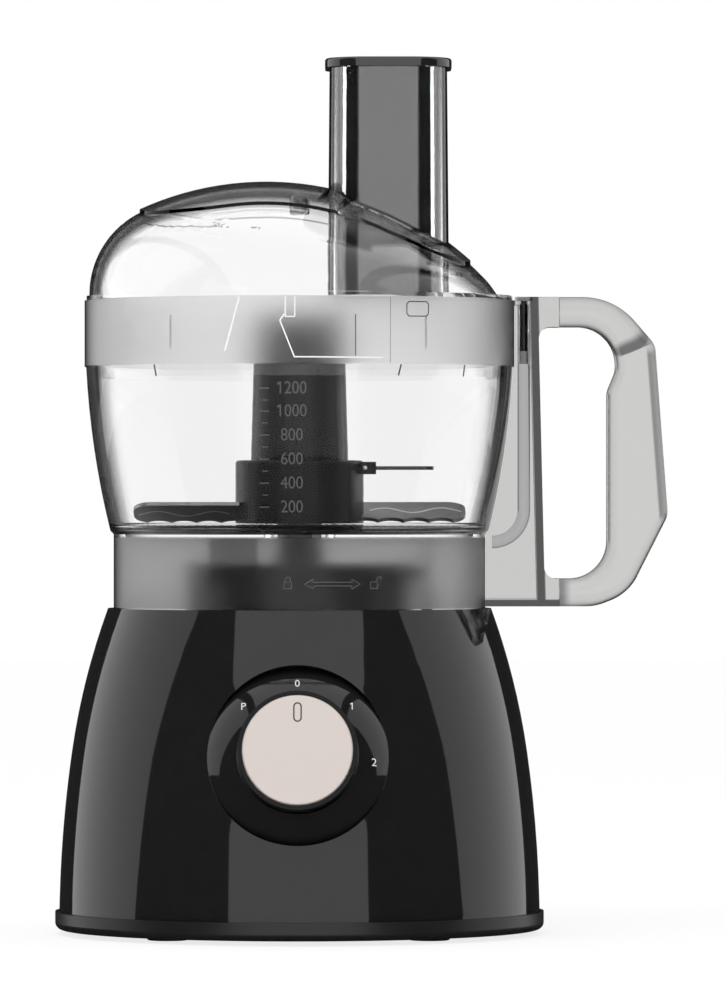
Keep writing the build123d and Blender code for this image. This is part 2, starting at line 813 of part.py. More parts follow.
# Rotor: shaft, slotted core with its winding, commutator and cooling fan
commutator_foot = stack_top + winding_length + winding_gap
fan_foot = stack_base - winding_length - winding_gap - fan_height
with BuildPart() as rotor_shaft:
    with BuildSketch(motor_axis.offset(pulley_foot)):
        Circle(rotor_shaft_radius)
    extrude(amount=bracket_high + bracket_thick - pulley_foot)
save(rotor_shaft.part, "rotor_shaft")

with BuildPart() as armature_core:
    with BuildSketch(motor_axis.offset(stack_base)):
        Circle(core_radius)
        Circle(rotor_shaft_radius, mode=Mode.SUBTRACT)
        with PolarLocations(core_radius, core_slots):
            Rectangle(2 * slot_depth, slot_width, mode=Mode.SUBTRACT)
    extrude(amount=stack_length)
save(armature_core.part, "armature_core")

bar_inner = core_radius - slot_depth + seat
with BuildPart() as armature_winding:
    with BuildSketch(motor_axis.offset(stack_base)):
        with PolarLocations((bar_inner + winding_radius) / 2, core_slots):
            Rectangle(winding_radius - bar_inner, slot_width - 2 * seat)
    extrude(amount=stack_length)
    with BuildSketch(motor_axis.offset(stack_base - winding_length), motor_axis.offset(stack_top)):
        Circle(winding_radius)
        Circle(rotor_shaft_radius, mode=Mode.SUBTRACT)
    extrude(amount=winding_length)
save(armature_winding.part, "armature_winding")

with BuildPart() as commutator:
    with BuildSketch(motor_axis.offset(commutator_foot)):
        Circle(commutator_radius)
        Circle(rotor_shaft_radius, mode=Mode.SUBTRACT)
        with PolarLocations(commutator_radius, commutator_bars):
            Rectangle(2 * bar_groove_depth, bar_groove, mode=Mode.SUBTRACT)
    extrude(amount=commutator_length)
save(commutator.part, "commutator")

with BuildPart() as cooling_fan:
    with BuildSketch(motor_axis.offset(fan_foot)):
        Circle(fan_radius)
    extrude(amount=fan_disc)
    with BuildSketch(motor_axis.offset(fan_foot)):
        Circle(fan_hub)
        with PolarLocations((fan_hub + fan_radius) / 2, fan_blades):
            Rectangle(fan_radius - fan_hub + fan_blade, fan_blade)
    extrude(amount=fan_height)
    with BuildSketch(motor_axis.offset(fan_foot)):
        Circle(rotor_shaft_radius)
    extrude(amount=fan_height, mode=Mode.SUBTRACT)
save(cooling_fan.part, "cooling_fan")

# Carbon brushes on the commutator, in holders under the top bracket
brush_height = commutator_foot + commutator_length / 2
holder_side = brush_side + 2 * holder_wall
for number, turn in enumerate((0, 180), 1):
    brush_line = Plane(
        origin=motor_axis.offset(brush_height).origin,
        x_dir=(0, 0, 1),
        z_dir=(cos(radians(motor_angle + turn)), sin(radians(motor_angle + turn)), 0),
    )
    with BuildPart() as carbon_brush:
        with BuildSketch(brush_line.offset(commutator_radius + slip)):
            Rectangle(brush_side, brush_side)
        extrude(amount=brush_length)
    save(carbon_brush.part, f"carbon_brush_{number}")
    with BuildPart() as brush_holder:
        with BuildSketch(brush_line.offset(commutator_radius + holder_wall)):
            with Locations(((bracket_high - brush_height - holder_side / 2) / 2, 0)):
                Rectangle(bracket_high - brush_height + holder_side / 2, holder_side)
            Rectangle(brush_side + 2 * seat, brush_side + 2 * seat, mode=Mode.SUBTRACT)
        extrude(amount=holder_length)
    save(brush_holder.part, f"brush_holder_{number}")


def bowl_body(grow):
    """The whole outside shape of the bowl, filled, and grown by the given amount."""
    with BuildPart() as body:
        with BuildSketch(Plane.XZ):
            with BuildLine():
                Polyline(
                    (0, bowl_foot),
                    (skirt_radius + grow, bowl_foot),
                    (skirt_radius + grow, floor_level - bowl_foot_radius + skirt_radius),
                    (bowl_foot_radius + grow, floor_level),
                )
                ThreePointArc(
                    (bowl_foot_radius + grow, floor_level),
                    (bowl_belly_radius + grow, belly_level),
                    (bowl_top_radius + grow, band_level),
                )
                Polyline(
                    (bowl_top_radius + grow, band_level),
                    (band_radius + grow, band_level),
                    (band_radius + grow, rim_level),
                    (0, rim_level),
                    (0, bowl_foot),
                )
            make_face()
        revolve(axis=Axis.Z)
    return body.part


# Bowl: clear wall on a skirt, rim band, tube for the drive post and hooks for the turret's lugs
with BuildPart() as bowl_inside:
    with BuildSketch(Plane.XZ):
        with BuildLine():
            ThreePointArc(
                (bowl_foot_radius - bowl_wall, floor_level),
                (bowl_belly_radius - bowl_wall, belly_level),
                (bowl_top_radius - bowl_wall, band_level),
            )
            Polyline(
                (bowl_top_radius - bowl_wall, band_level),
                (band_radius - band_wall, band_level),
                (band_radius - band_wall, rim_level),
                (0, rim_level),
                (0, floor_level),
                (bowl_foot_radius - bowl_wall, floor_level),
            )
        make_face()
    revolve(axis=Axis.Z)
    fillet(bowl_inside.edges().group_by(Axis.Z)[0], floor_round)

with BuildPart() as bowl:
    add(bowl_body(0))
    add(bowl_inside.part, mode=Mode.SUBTRACT)
    with BuildSketch(Plane.XY.offset(bowl_foot)):
        Circle(skirt_radius - bowl_wall)
    extrude(amount=floor_level - floor_thick - bowl_foot, mode=Mode.SUBTRACT)
    with BuildSketch(Plane.XY.offset(floor_level - floor_thick)):
        Circle(tube_radius)
    extrude(amount=tube_end - floor_level + floor_thick)
    with BuildSketch(Plane.XY.offset(floor_level - floor_thick)):
        Circle(tube_bore)
    extrude(amount=tube_end - floor_level + floor_thick, mode=Mode.SUBTRACT)
    with BuildSketch(Plane.XY.offset(hook_top - hook_lip)):
        with PolarLocations(0, lug_count):
            add(ring_sector(hook_radius + hook_wall, turret_radius + lug_reach - hook_cover, hook_angle))
    extrude(amount=hook_lip)
    with BuildSketch(Plane.XY.offset(hook_top - hook_lip)):
        with PolarLocations(0, lug_count):
            add(ring_sector(hook_radius + hook_wall, hook_radius, hook_angle))
    extrude(amount=floor_level - floor_thick - hook_top + hook_lip)
save(bowl.part, "bowl")


def web_edge(height):
    """How far the web reaches from the axis at the given height."""
    lean = (web_foot - web_top) / (gap_high - gap_low)
    return web_top + lean * (gap_high - height)


# Handle web: thin plate against the bowl with a rim, and the channel of the interlock pin
pin_top = lid_seat - slip
channel = Plane(origin=(channel_x, 0, bend_level))
with BuildPart() as handle_web:
    with BuildSketch(Plane.XZ):
        with BuildLine():
            Polyline(
                (skirt_radius / 2, handle_low),
                (web_edge(handle_low), handle_low),
                (web_edge(handle_high), handle_high),
                (band_radius + seat, handle_high),
                (band_radius + seat, band_level),
                (skirt_radius / 2, band_level),
                close=True,
            )
        make_face()
    extrude(amount=web_thick / 2, both=True)
    with BuildSketch(Plane.XZ):
        with BuildLine():
            FilletPolyline(
                (seam, gap_high),
                (web_edge(gap_high), gap_high),
                (web_edge(gap_low), gap_low),
                (seam, gap_low),
                radius=gap_corner,
            )
            Polyline(
                (seam, gap_low),
                (seam, handle_low),
                (skirt_radius / 2, handle_low),
                (skirt_radius / 2, handle_low + web_rim),
                (web_edge(handle_low) - web_rim, handle_low + web_rim),
                (web_edge(handle_high) - web_rim, handle_high - web_rim),
                (band_radius + seat, handle_high - web_rim),
                (band_radius + seat, handle_high),
                (seam, handle_high),
                (seam, gap_high),
            )
        make_face()
    extrude(amount=web_rim_width / 2, both=True)
    with BuildSketch(channel):
        Circle(channel_radius)
    extrude(amount=handle_high - bend_level)
    with BuildLine(Plane.XZ):
        bend_center = (channel_x - channel_bend_radius, bend_level)
        CenterArc(bend_center, channel_bend_radius, 0, -90)
    with BuildSketch(channel):
        Circle(channel_radius)
    sweep()
    add(bowl_body(seat), mode=Mode.SUBTRACT)
    with BuildSketch(channel.offset(pin_top - pin_length - pin_travel - pin_radius - bend_level)):
        Circle(pin_radius + slip)
    extrude(amount=pin_length + pin_travel + 2 * pin_radius, mode=Mode.SUBTRACT)
    with BuildSketch(Plane.XY.offset(pin_top)):
        with Locations(((tab_end + slip) / 2, 0)):
            Rectangle(tab_end + slip, tab_width + 2 * slip)
    extrude(amount=handle_high - pin_top, mode=Mode.SUBTRACT)
save(handle_web.part, "handle_web")

# Handle grip: the open loop that the hand goes round, seated on the web's two stubs
with BuildPart() as handle_grip:
    with BuildSketch(Plane.XZ):
        grip_seam = seam + seat
        with BuildLine():
            FilletPolyline(
                (grip_seam, handle_high),
                (seam + grip_top_end, handle_high),
                (seam + grip_outer_top, handle_high - grip_shoulder),
                (seam + grip_outer, handle_low + grip_heel),
                (seam + grip_heel_reach, handle_low + grip_heel_foot),
                (seam + grip_foot_end, handle_low),
                (grip_seam, handle_low),
                radius=[grip_top_round, grip_bend, grip_bend, grip_foot_round, grip_foot_round],
            )
            FilletPolyline(
                (grip_seam, gap_low),
                (seam + grip_inner, gap_low),
                (seam + grip_inner, notch_level),
                (seam + grip_notch, notch_level + notch_slope),
                (seam + grip_notch, gap_high),
                (grip_seam, gap_high),
                radius=[gap_corner_outer, notch_slope, notch_slope, gap_corner_outer],
            )
            Line((grip_seam, handle_low), (grip_seam, gap_low))
            Line((grip_seam, gap_high), (grip_seam, handle_high))
        make_face()
    extrude(amount=grip_width / 2, both=True)
    side_edges = handle_grip.faces().filter_by(Axis.Y).edges()
    fillet(side_edges.filter_by_position(Axis.X, grip_seam + seat, channel_x + tab_end), grip_edge)
save(handle_grip.part, "handle_grip")

with BuildPart() as interlock_pin:
    with BuildSketch(channel.offset(pin_top - pin_length - bend_level)):
        Circle(pin_radius)
    extrude(amount=pin_length)
save(interlock_pin.part, "interlock_pin")


def lid_body(inset):
    """The domed outside shape of the lid above its seat, filled, and drawn in by the given amount."""
    with BuildPart() as body:
        with BuildSketch(Plane.XY.offset(lid_seat - 2 * lid_round)):
            Circle(lid_radius - inset)
        extrude(amount=dome_level - lid_seat + 2 * lid_round)
        with Locations((dome_offset, 0, dome_level - dome_radius)):
            Sphere(dome_radius - crown_rise - inset, mode=Mode.INTERSECT)
        fillet(body.edges().filter_by(GeomType.BSPLINE), lid_round - inset)
        with BuildSketch(Plane.XY.offset(lid_seat)):
            Circle(2 * lid_radius)
        extrude(amount=-2 * lid_round, mode=Mode.SUBTRACT)
    return body.part


# Feed chute: outside drawn in towards the top, inside straight so that the pusher slides
chute_height = chute_high - chute_low
chute_spread = 2 * chute_height * tan(radians(chute_draft))
with BuildPart() as chute_outside:
    with BuildSketch(Plane.XY.offset(chute_low)):
        with Locations((chute_center, 0)):
            RectangleRounded(
                chute_width + chute_spread, chute_deep + chute_spread, chute_corner + chute_spread / 2
            )
    extrude(amount=chute_height, taper=chute_draft)

with BuildPart() as feed_chute:
    add(chute_outside.part)
    with BuildSketch(Plane.XY.offset(chute_low)):
        with Locations((chute_center, 0)):
            RectangleRounded(
                chute_width - 2 * chute_wall, chute_deep - 2 * chute_wall, chute_corner - chute_wall
            )
    extrude(amount=chute_height, mode=Mode.SUBTRACT)
save(feed_chute.part, "feed_chute")

# Lid: dome with a raised crown, flange on the bowl's rim, inner skirt, bayonet ribs and tab
with BuildPart() as lid_crown:
    with BuildSketch(Plane.XY.offset(lid_seat)):
        with Locations((crown_offset, 0)):
            RectangleRounded(crown_length, crown_width, crown_corner)
    extrude(amount=dome_level - lid_seat)
    with Locations((dome_offset, 0, dome_level - dome_radius)):
        Sphere(dome_radius, mode=Mode.INTERSECT)

with BuildPart() as lid:
    add(lid_body(0))
    add(lid_crown.part)
    add(lid_body(lid_wall), mode=Mode.SUBTRACT)
    with BuildSketch(Plane.XY.offset(lid_seat)):
        Circle(lid_flange_radius)
        Circle(lid_skirt_radius - skirt_wall, mode=Mode.SUBTRACT)
    extrude(amount=lid_flange)
    with BuildSketch(Plane.XY.offset(lid_seat)):
        with Locations(((lid_skirt_radius + tab_end) / 2, 0)):
            Rectangle(tab_end - lid_skirt_radius, tab_width)
    extrude(amount=lid_flange)
    with BuildSketch(Plane.XY.offset(rim_level - skirt_drop)):
        Circle(lid_skirt_radius)
        Circle(lid_skirt_radius - skirt_wall, mode=Mode.SUBTRACT)
    extrude(amount=skirt_drop + seat)
    with BuildSketch(Plane.XY.offset(bayonet_level)):
        with PolarLocations(0, bayonet_count, 180 / bayonet_count):
            rib_root = lid_skirt_radius - skirt_wall / 2
            add(ring_sector(lid_skirt_radius + bayonet_rise, rib_root, bayonet_angle))
    extrude(amount=bayonet_height)
    add(chute_outside.part, mode=Mode.SUBTRACT)
save(lid.part, "lid")

# Pusher: open cup that slides in the chute, hung by its flange
pusher_inset = chute_wall + pusher_gap
with BuildPart() as pusher:
    with BuildSketch(Plane.XY.offset(chute_low)):
        with Locations((chute_center, 0)):
            RectangleRounded(
                chute_width - 2 * pusher_inset, chute_deep - 2 * pusher_inset, chute_corner - pusher_inset
            )
    extrude(amount=chute_height + slip)
    with BuildSketch(Plane.XY.offset(chute_high + slip)):
        with Locations((chute_center, 0)):
            RectangleRounded(
                chute_width + 2 * pusher_flange, chute_deep + 2 * pusher_flange, chute_corner + pusher_flange
            )
    extrude(amount=pusher_flange_thick)
    fillet(pusher.edges().group_by(Axis.Z)[-1], pusher_flange_round)
    with BuildSketch(Plane.XY.offset(chute_low + pusher_wall)):
        with Locations((chute_center, 0)):
            RectangleRounded(
                chute_width - 2 * (pusher_inset + pusher_wall),
                chute_deep - 2 * (pusher_inset + pusher_wall),
                chute_corner - pusher_inset - pusher_wall,
            )
    extrude(amount=chute_height + pusher_flange_thick, mode=Mode.SUBTRACT)
save(pusher.part, "pusher")


def blade_arm(side):
    """One lower arm of the blade, tilted about its length, with a scalloped cutting edge."""
    lean = radians(blade_tilt)
    flat = Plane(origin=(0, 0, blade_level), x_dir=(side, 0, 0), z_dir=(0, -side * sin(lean), cos(lean)))
    with BuildPart() as arm:
        with BuildSketch(flat) as outline:
            with Locations(((blade_root + blade_reach) / 2, 0)):
                Rectangle(blade_reach - blade_root, blade_width)
            fillet(outline.vertices().group_by(Axis.X)[-1], blade_tip_round)
            first = blade_reach - scallop_pitch
            edge = -blade_width / 2 - scallop_radius + scallop_depth
            with Locations(*[(first - number * scallop_pitch, edge) for number in range(scallop_count)]):
                Circle(scallop_radius, mode=Mode.SUBTRACT)
        extrude(amount=blade_thick / 2, both=True)
    return arm.part


# Blade: two lower arms and one upper arm in a hub that drops over the drive post
lower_arms = [blade_arm(1), blade_arm(-1)]
for number, arm in enumerate(lower_arms, 1):
    save(arm, f"lower_blade_{number}")

with BuildPart() as upper_blade:
    with BuildSketch(upper_plane) as upper_outline:
        with Locations(((upper_root + upper_reach) / 2, 0)):
            Rectangle(upper_reach - upper_root, upper_width)
        fillet(upper_outline.vertices().group_by(Axis.X)[-1], upper_tip_round)
    extrude(amount=blade_thick)
save(upper_blade.part, "upper_blade")

hub_foot = floor_level + hub_gap
post_seat = tube_end + hub_gap
with BuildPart() as blade_hub:
    with BuildSketch(Plane.XY.offset(hub_foot)):
        Circle(collar_radius)
    extrude(amount=collar_level - hub_foot)
    fillet(blade_hub.edges().group_by(Axis.Z)[-1], collar_round)
    with BuildSketch(Plane.XY.offset(collar_level)):
        Circle(stem_radius)
    with BuildSketch(Plane.XY.offset(stem_level)):
        Circle(stem_top_radius)
    loft()
    fillet(blade_hub.edges().group_by(Axis.Z)[-1], stem_round)
    with BuildSketch(upper_plane.offset((blade_thick - clamp_height) / 2)):
        with Locations((clamp_reach / 2, 0)):
            Rectangle(clamp_reach, clamp_width)
    extrude(amount=clamp_height)
    with BuildSketch(Plane.XY.offset(hub_foot)):
        Circle(tube_radius + hub_gap)
    extrude(amount=post_seat - hub_foot, mode=Mode.SUBTRACT)
    with BuildSketch(Plane.XY.offset(post_seat)):
        RegularPolygon(post_across / 2 + seat, 6, major_radius=False)
    extrude(amount=post_end + seat - post_seat, mode=Mode.SUBTRACT)
    with BuildSketch(Plane.XY.offset(post_seat)):
        Circle(hub_core)
    extrude(amount=stem_level - hub_roof - post_seat, mode=Mode.SUBTRACT)
    for arm in lower_arms:
        add(arm, mode=Mode.SUBTRACT)
    add(upper_blade.part, mode=Mode.SUBTRACT)
save(blade_hub.part, "blade_hub")
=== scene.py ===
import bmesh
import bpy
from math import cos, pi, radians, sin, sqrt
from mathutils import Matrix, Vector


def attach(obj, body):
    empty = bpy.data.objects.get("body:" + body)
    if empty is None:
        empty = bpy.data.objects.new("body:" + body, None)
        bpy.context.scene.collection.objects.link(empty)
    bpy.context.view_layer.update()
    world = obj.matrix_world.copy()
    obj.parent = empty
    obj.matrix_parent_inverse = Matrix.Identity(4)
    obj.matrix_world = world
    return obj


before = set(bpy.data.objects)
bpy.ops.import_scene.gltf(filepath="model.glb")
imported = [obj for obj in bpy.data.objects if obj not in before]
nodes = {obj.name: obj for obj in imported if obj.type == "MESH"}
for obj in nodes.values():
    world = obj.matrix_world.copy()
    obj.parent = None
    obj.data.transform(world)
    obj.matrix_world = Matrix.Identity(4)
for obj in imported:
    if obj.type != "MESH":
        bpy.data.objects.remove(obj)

# %% [markdown]
# A small food processor stands on a white table: a glossy black motor base with a dial, a clear bowl with a
# loop handle, a domed lid with a feed chute, and a blade inside.
# The solids come from the packed model, in metres, with +Z up, the handle on +X and the dial on -Y.
# This lesson gives them finishes, light and the small moulded and printed marks. Dressing a model must not
# make it larger.

scene = bpy.context.scene
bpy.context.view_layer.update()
MM = 0.001

# %% [markdown]
# A product picture is taken from far away with a long lens, so that upright edges stay upright. The camera
# stands 3.5 m in front of the machine at half its height, looks straight along +Y, and uses no lens shift.

# %% Camera
camera_data = bpy.data.cameras.new("long_lens")
camera_data.lens = 287.0
camera_data.sensor_width = 36.0
camera_data.clip_end = 20.0
camera = bpy.data.objects.new("camera", camera_data)
camera.location = (0.0279, -3.52, 0.1896)
camera.rotation_euler = (radians(90), 0, 0)
scene.collection.objects.link(camera)
scene.camera = camera
print("camera height:", camera.location.z, "lens:", camera_data.lens)

# %% [markdown]
# Shader maths reads best as ordinary formulas. A Wire holds one output socket. Adding, multiplying or
# comparing wires puts Math nodes into the same tree, and the method add makes any other kind of node: its
# type, then its settings, then the numbers or wires for its inputs.

# %% Formulas that become nodes
class Wire:
    def __init__(self, tree, socket=None):
        self.tree, self.socket = tree, socket

    def add(self, kind, settings=None, inputs=None, out=0):
        made = self.tree.nodes.new(kind)
        for name, value in (settings or {}).items():
            setattr(made, name, value)
        for name, value in (inputs or {}).items():
            if isinstance(value, Wire):
                self.tree.links.new(value.socket, made.inputs[name])
            else:
                made.inputs[name].default_value = value
        return Wire(self.tree, made.outputs[out] if made.outputs else None)

    def math(self, operation, first, second=0.0):
        return self.add("ShaderNodeMath", {"operation": operation}, {0: first, 1: second})

    def __add__(self, other): return self.math("ADD", self, other)
    def __radd__(self, other): return self.math("ADD", other, self)
    def __sub__(self, other): return self.math("SUBTRACT", self, other)
    def __rsub__(self, other): return self.math("SUBTRACT", other, self)
    def __mul__(self, other): return self.math("MULTIPLY", self, other)
    def __rmul__(self, other): return self.math("MULTIPLY", other, self)
    def __pow__(self, other): return self.math("POWER", self, other)
    def __gt__(self, other): return self.math("GREATER_THAN", self, other)
    def __lt__(self, other): return self.math("LESS_THAN", self, other)
    def size(self): return self.math("ABSOLUTE", self)

    def ease(self, low, high):
        """0 below low, 1 above high, and a soft step between them."""
        step = {"interpolation_type": "SMOOTHSTEP", "clamp": True}
        return self.add("ShaderNodeMapRange", step, {"Value": self, "From Min": low, "From Max": high})

    def blend(self, first, second):
        """A colour that goes from first to second as this wire goes from 0 to 1."""
        return self.add("ShaderNodeMix", {"data_type": "RGBA"}, {0: self, 6: first, 7: second}, out=2)


def parts_of(vector):
    """The three numbers of a vector wire."""
    return [vector.add("ShaderNodeSeparateXYZ", {}, {0: vector}, out=axis) for axis in range(3)]


print("operators ready:", [name for name in vars(Wire) if name.startswith("__")][:4], "and more")

# %% [markdown]
# The studio: a glossy black machine shows mostly what it mirrors. In the picture it mirrors a tall pale
# card in front and overhead, two dark gaps beside it, and two large pale walls at its sides that end before
# the backdrop. So the world is painted by direction for mirrored and refracted rays. The camera itself sees
# plain white, and matt surfaces receive one even level, so colours come out about as they are written.

# %% Studio world
world = bpy.data.worlds.new("studio")
world.use_nodes = True
scene.world = world
world.node_tree.nodes.clear()
sky = Wire(world.node_tree)
across, away, up = parts_of(sky.add("ShaderNodeTexCoord", out="Generated"))
overhead = (up > 0.5) * (away < 0.7)
front_card = (across.size() < 0.55) * overhead.math("MAXIMUM", overhead, away < 0.05) * (up > -0.3)
wall_edge = away + up * 0.4
side_walls = (wall_edge > -0.1) * (away < 0.77) * (across.size() > 0.64) * (up > -0.1)
side_walls = side_walls * (1 - front_card)
wall_level = away.ease(-0.3, 0.8) * 0.35 + 0.8
mirrored = front_card + side_walls * wall_level + 0.02
backdrop = away.ease(0.78, 0.95)
refracted = backdrop + (1 - backdrop) * (front_card * 0.8 + side_walls * 0.9 + 0.02)
camera_ray, glossy_ray, clear_ray, matt_ray = [
    sky.add("ShaderNodeLightPath", out=kind)
    for kind in ("Is Camera Ray", "Is Glossy Ray", "Is Transmission Ray", "Is Diffuse Ray")
]
matt_level = 0.86
level = matt_ray * matt_level + glossy_ray * mirrored + clear_ray * refracted
level = camera_ray + (1 - camera_ray) * level
background = sky.add("ShaderNodeBackground", {}, {"Color": (1, 1, 1, 1), "Strength": level})
sky.add("ShaderNodeOutputWorld", {}, {"Surface": background})
print("world nodes:", len(world.node_tree.nodes))

# %% [markdown]
# Every new piece is built as a bmesh, which is easy to edit in code, and then becomes an object. This helper
# turns the faces outwards first, so that light sees their outer side.

# %% Mesh helper
def mesh_object(name, shape, smooth=True):
    """Turns a bmesh into an object in the scene, with its faces turned outwards."""
    data = bpy.data.meshes.new(name)
    bmesh.ops.recalc_face_normals(shape, faces=shape.faces)
    shape.to_mesh(data)
    shape.free()
    data.polygons.foreach_set("use_smooth", [smooth] * len(data.polygons))
    made = bpy.data.objects.new(name, data)
    scene.collection.objects.link(made)
    return made


print("mesh helper ready")

# %% [markdown]
# The table is a wide round sheet of white paper. It shines a little for the camera so that it reads as white,
# and the rest of it is matt, which keeps the soft shadow under the feet. Mirrored rays don't see it, because
# the studio beyond the paper is dark.

# %% Paper
sheet = bmesh.new()
bmesh.ops.create_circle(sheet, cap_ends=True, segments=96, radius=6.0)
paper = mesh_object("paper", sheet)
paper.visible_glossy = False

paper_finish = bpy.data.materials.new("white_paper")
paper_finish.use_nodes = True
paper_finish.node_tree.nodes.clear()
page = Wire(paper_finish.node_tree)
fibre = page.add("ShaderNodeTexNoise", {}, {"Scale": 220.0, "Detail": 3.0})
paper_white = fibre.blend((0.9, 0.9, 0.9, 1), (0.94, 0.94, 0.94, 1))
matt = page.add("ShaderNodeBsdfDiffuse", {}, {"Color": paper_white})
shine = page.add("ShaderNodeEmission", {}, {"Color": (1, 1, 1, 1), "Strength": 1.05})
seen = [page.add("ShaderNodeLightPath", out=kind) for kind in ("Is Camera Ray", "Is Transmission Ray")]
both = page.add("ShaderNodeMixShader", {}, {0: (seen[0] + seen[1]) * 0.76, 1: matt, 2: shine})
page.add("ShaderNodeOutputMaterial", {}, {"Surface": both})
paper.data.materials.append(paper_finish)
print("paper:", len(paper.data.polygons), "face")

# %% [markdown]
# One wide lamp above the camera's left gives the shadow a side and the matt parts some form. It is kept out
# of mirrored and refracted rays, because the cards of the studio are already painted there.

# %% Lamp
lamp_data = bpy.data.lights.new("soft_lamp", "AREA")
lamp_data.shape, lamp_data.size, lamp_data.size_y = "RECTANGLE", 1.4, 1.0
lamp_data.energy = 9.0
lamp = bpy.data.objects.new("soft_lamp", lamp_data)
lamp.location = (-0.5, -0.9, 1.7)
lamp.rotation_euler = (Vector((0, 0, 0.15)) - lamp.location).to_track_quat("-Z", "Y").to_euler()
lamp.visible_glossy = lamp.visible_transmission = False
scene.collection.objects.link(lamp)
scene.view_settings.view_transform = "Standard"
print("lamp:", lamp_data.energy, "W")

# %% [markdown]
# The clear chute shows two narrow white streaks along its rounded corners: the reflections of two small
# strip lamps beside it. They stand in the gaps between the card and the walls, and light linking keeps them
# off everything but the chute, because nothing else shows them.

# %% Strip lamps for the chute
streaked = bpy.data.collections.new("streaked_by_strips")
streaked.objects.link(nodes["feed_chute"])
for hand, along in (("left", -1.43), ("right", 1.50)):
    strip_data = bpy.data.lights.new(f"strip_lamp_{hand}", "AREA")
    strip_data.shape, strip_data.size, strip_data.size_y = "RECTANGLE", 0.34, 0.26
    strip_data.energy = 8.0
    strip = bpy.data.objects.new(f"strip_lamp_{hand}", strip_data)
    strip.location = (along, -0.42, 0.41)
    strip.rotation_euler = (Vector((0.039, 0, 0.33)) - strip.location).to_track_quat("-Z", "Y").to_euler()
    strip.visible_camera = strip.visible_diffuse = strip.visible_transmission = False
    strip.light_linking.receiver_collection = streaked
    scene.collection.objects.link(strip)

# %% [markdown]
# Every finish starts the same way: a material with a Principled shader, and a noise that is measured in the
# solid's own metres, so that grain keeps its real size. Injection-moulded plastic is never perfectly even:
# its gloss changes a little from place to place and its surface waves slightly.

# %% Helpers for finishes
finishes = {}


def start(name):
    """A new empty material, as a wire to build on."""
    made = bpy.data.materials.new(name)
    made.use_nodes = True
    made.node_tree.nodes.clear()
    finishes[name] = made
    return Wire(made.node_tree)


def spot(wire):
    """Where a point of the solid is, in metres."""
    return wire.add("ShaderNodeTexCoord", out="Object")


def grain(wire, scale, detail=2.0, stretch=None):
    """Even noise from 0 to 1 whose features are about 1/scale metres."""
    place = spot(wire)
    if stretch:
        place = wire.add("ShaderNodeVectorMath", {"operation": "MULTIPLY"}, {0: place, 1: stretch})
    return wire.add("ShaderNodeTexNoise", {}, {"Vector": place, "Scale": scale, "Detail": detail})


def bump(wire, height, depth, strength=0.3):
    """A small surface relief of the given depth in metres."""
    relief = {"Height": height, "Distance": depth, "Strength": strength}
    return wire.add("ShaderNodeBump", {}, relief)


def close(wire, **sockets):
    """Ends a material in a Principled shader with the given sockets."""
    names = {name.replace("_", " ").title(): value for name, value in sockets.items()}
    names = {("IOR" if name == "Ior" else name): value for name, value in names.items()}
    shader = wire.add("ShaderNodeBsdfPrincipled", {}, names)
    wire.add("ShaderNodeOutputMaterial", {}, {"Surface": shader})


print("material helpers ready")

# %% [markdown]
# Two kinds of opaque finish are needed. Moulded plastic has a colour, a gloss that varies a little, and
# either fine pits or a slow wave. Bare metal has tool lines, which the noise gets by being stretched.

# %% Moulded plastic and bare metal
def moulded(name, color, gloss, spread=0.03, pits=1600.0, pit_depth=0.0, wave=0.0, ior=1.5):
    """Opaque moulded plastic: colour, roughness and its spread, fine texture and slow waviness."""
    wire = start(name)
    dust = grain(wire, 140.0, 4.0)
    pale = tuple(channel * 1.12 + 0.0004 for channel in color)
    sockets = {
        "base_color": dust.ease(0.35, 0.8).blend((*color, 1), (*pale, 1)),
        "roughness": grain(wire, 700.0, 3.0) * spread + (gloss - spread / 2),
        "ior": ior,
    }
    if pit_depth:
        sockets["normal"] = bump(wire, grain(wire, pits, 2.0), pit_depth, 0.5)
    elif wave:
        sockets["normal"] = bump(wire, grain(wire, 26.0, 1.0), wave, 0.12)
    close(wire, **sockets)


def metal(name, color, rough, stretch=(1, 1, 1), lines=900.0, depth=0.00002, worn=0.8):
    """Bare metal with fine tool lines drawn out along the short directions of stretch."""
    wire = start(name)
    streaks = grain(wire, lines, 3.0, stretch)
    dull = tuple(channel * worn for channel in color)
    close(
        wire,
        base_color=grain(wire, 60.0, 4.0).ease(0.3, 0.75).blend((*color, 1), (*dull, 1)),
        metallic=1.0,
        roughness=streaks * 0.16 + (rough - 0.08),
        normal=bump(wire, streaks, depth, 0.4),
    )


print("finish helpers ready")

# %% [markdown]
# Opaque finishes. The shell, the ring round the dial and the pusher are black plastic, polished in the mould.
# The band at the foot and the blade's hub are satin, and the feet are rubber. The motor inside gets its
# copper, carbon and steel too, because the pieces can be looked at one by one.

# %% Opaque plastics and metals
moulded("shell_black", (0.011, 0.011, 0.0115), 0.045, 0.03, wave=0.0004, ior=1.55)
moulded("bezel_black", (0.011, 0.011, 0.0115), 0.06, 0.03, ior=1.55)
moulded("pusher_black", (0.014, 0.014, 0.0145), 0.06, 0.04, wave=0.0002, ior=1.75)
moulded("knob_black", (0.008, 0.008, 0.0085), 0.12, 0.04, ior=1.28)
moulded("plate_grey", (0.012, 0.012, 0.013), 0.32, 0.08, pits=2600.0, pit_depth=0.00003)
moulded("hub_black", (0.007, 0.007, 0.0075), 0.24, 0.06, wave=0.0002, ior=1.22)
moulded("rubber", (0.022, 0.022, 0.022), 0.78, 0.16, pits=1500.0, pit_depth=0.00008)
moulded("inner_plastic", (0.16, 0.16, 0.17), 0.42, 0.1, pits=1800.0, pit_depth=0.00003)
moulded("pin_dark", (0.02, 0.02, 0.02), 0.3, 0.08, pits=2400.0, pit_depth=0.00002)
